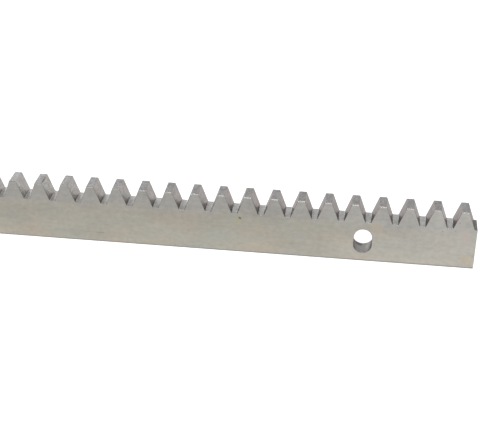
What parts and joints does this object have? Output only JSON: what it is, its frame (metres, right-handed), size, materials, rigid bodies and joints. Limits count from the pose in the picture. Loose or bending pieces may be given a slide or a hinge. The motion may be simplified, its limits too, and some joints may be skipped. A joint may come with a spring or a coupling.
{
  "type": "gear rack",
  "caption": "Straight steel gear rack for a sliding gate, with teeth cut along one edge of a flat bar and upright bolt slots through it.",
  "frame": {"origin": "on the floor under the middle of the bar: centre of the bounding box's bottom", "axes": "+X along the bar, +Y through its thickness towards the gate, +Z from the back edge up to the teeth"},
  "size_m": [1.0054, 0.01, 0.03],
  "materials": {
    "zinc_plated_steel": "satin"
  },
  "bodies": {
    "root": {"rack_bar": "zinc_plated_steel"}
  },
  "joints": []
}
